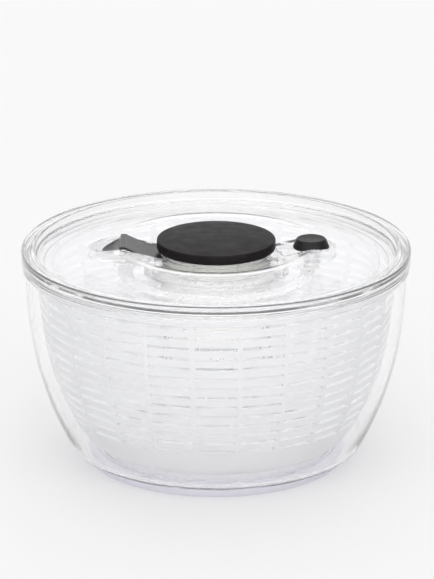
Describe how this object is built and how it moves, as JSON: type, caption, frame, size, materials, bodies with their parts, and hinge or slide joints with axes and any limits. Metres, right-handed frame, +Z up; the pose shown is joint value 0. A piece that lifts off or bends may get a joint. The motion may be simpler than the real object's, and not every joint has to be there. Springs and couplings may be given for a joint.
{
  "type": "salad spinner",
  "caption": "Clear salad spinner: bowl on a soft foot ring, slotted basket, and a clear lid with a push-down drive knob, sliding lock lever and brake button.",
  "frame": {"origin": "centre of the foot ring's underside, on the surface the spinner stands on", "axes": "+Z up along the spin axis; -Y is the front; the lock lever is on -X and the brake button on +X"},
  "size_m": [0.2666, 0.2666, 0.157],
  "materials": {
    "clear_plastic": "clear, polished moulding",
    "foot_elastomer": "translucent grey-violet, satin",
    "basket_plastic": "translucent white, satin",
    "frosted_plastic": "frosted translucent",
    "white_acetal": "smooth moulded",
    "ivory_plastic": "glossy ivory",
    "soft_touch_black": "soft-touch matt black",
    "smoke_plastic": "dark smoky grey, polished",
    "black_rubber": "matt black",
    "spring_steel": "bright wire and turned steel"
  },
  "bodies": {
    "bowl": {"bowl_shell": "clear_plastic", "foot_ring": "foot_elastomer"},
    "pivot": {"pivot_cap": "white_acetal"},
    "basket": {"basket": "basket_plastic"},
    "lid": {"lid_shell": "clear_plastic", "rotor_carrier": "clear_plastic", "carrier_screw_1": "spring_steel", "carrier_screw_2": "spring_steel", "carrier_screw_3": "spring_steel"},
    "lever": {"lock_lever": "smoke_plastic", "lock_retainer": "white_acetal", "lock_screw": "spring_steel"},
    "brake": {"brake_button": "black_rubber", "brake_stem": "frosted_plastic", "brake_spring": "spring_steel", "brake_pad": "white_acetal"},
    "plunger": {"knob_cap": "soft_touch_black", "knob_core": "white_acetal", "plunger_body": "ivory_plastic", "drive_nut": "white_acetal", "return_spring": "spring_steel"},
    "drive": {"helix_rod": "spring_steel", "clutch_rotor": "white_acetal", "pawl_1": "white_acetal", "pawl_2": "white_acetal", "pawl_3": "white_acetal"},
    "rotor": {"drive_cup": "frosted_plastic", "cup_bottom_cap": "frosted_plastic", "ratchet_ring": "white_acetal", "clutch_cover": "white_acetal", "spring_washer": "spring_steel", "turntable": "clear_plastic", "turntable_clip": "clear_plastic"}
  },
  "joints": [
    {"name": "lid_lift", "type": "slide", "parent": "bowl", "child": "lid", "axis": [0, 0, 1], "range_m": [0, 0.3]},
    {"name": "turntable_spin", "type": "hinge", "parent": "lid", "child": "rotor", "pos_m": [0, 0, 0.13], "axis": [0, 0, 1], "continuous": true},
    {"name": "basket_spin", "type": "hinge", "parent": "bowl", "child": "pivot", "pos_m": [0, 0, 0.0175], "axis": [0, 0, 1], "continuous": true},
    {"name": "basket_lift", "type": "slide", "parent": "pivot", "child": "basket", "axis": [0, 0, 1], "range_m": [0, 0.16]},
    {"name": "plunger_press", "type": "slide", "parent": "lid", "child": "plunger", "axis": [0, 0, 1], "range_m": [0, 0.045], "deforming": ["return_spring"]},
    {"name": "rod_spin", "type": "hinge", "parent": "lid", "child": "drive", "pos_m": [0, 0, 0.1], "axis": [0, 0, 1], "range_deg": [-545, 5]},
    {"name": "lock_slide", "type": "slide", "parent": "lid", "child": "lever", "axis": [-1, 0, 0], "range_m": [0, 0.007]},
    {"name": "brake_press", "type": "slide", "parent": "lid", "child": "brake", "axis": [0, 0, -1], "range_m": [0, 0.002], "stiffness_N_per_m": 400, "springref_m": -0.002, "deforming": ["brake_spring"]}
  ],
  "couplings": [
    {"joint": "basket_spin", "follows": "turntable_spin", "ratio": 1},
    {"joint": "basket_lift", "follows": "lid_lift", "ratio": 0.5},
    {"joint": "rod_spin", "follows": "plunger_press", "rad_per_m": -209.44}
  ]
}
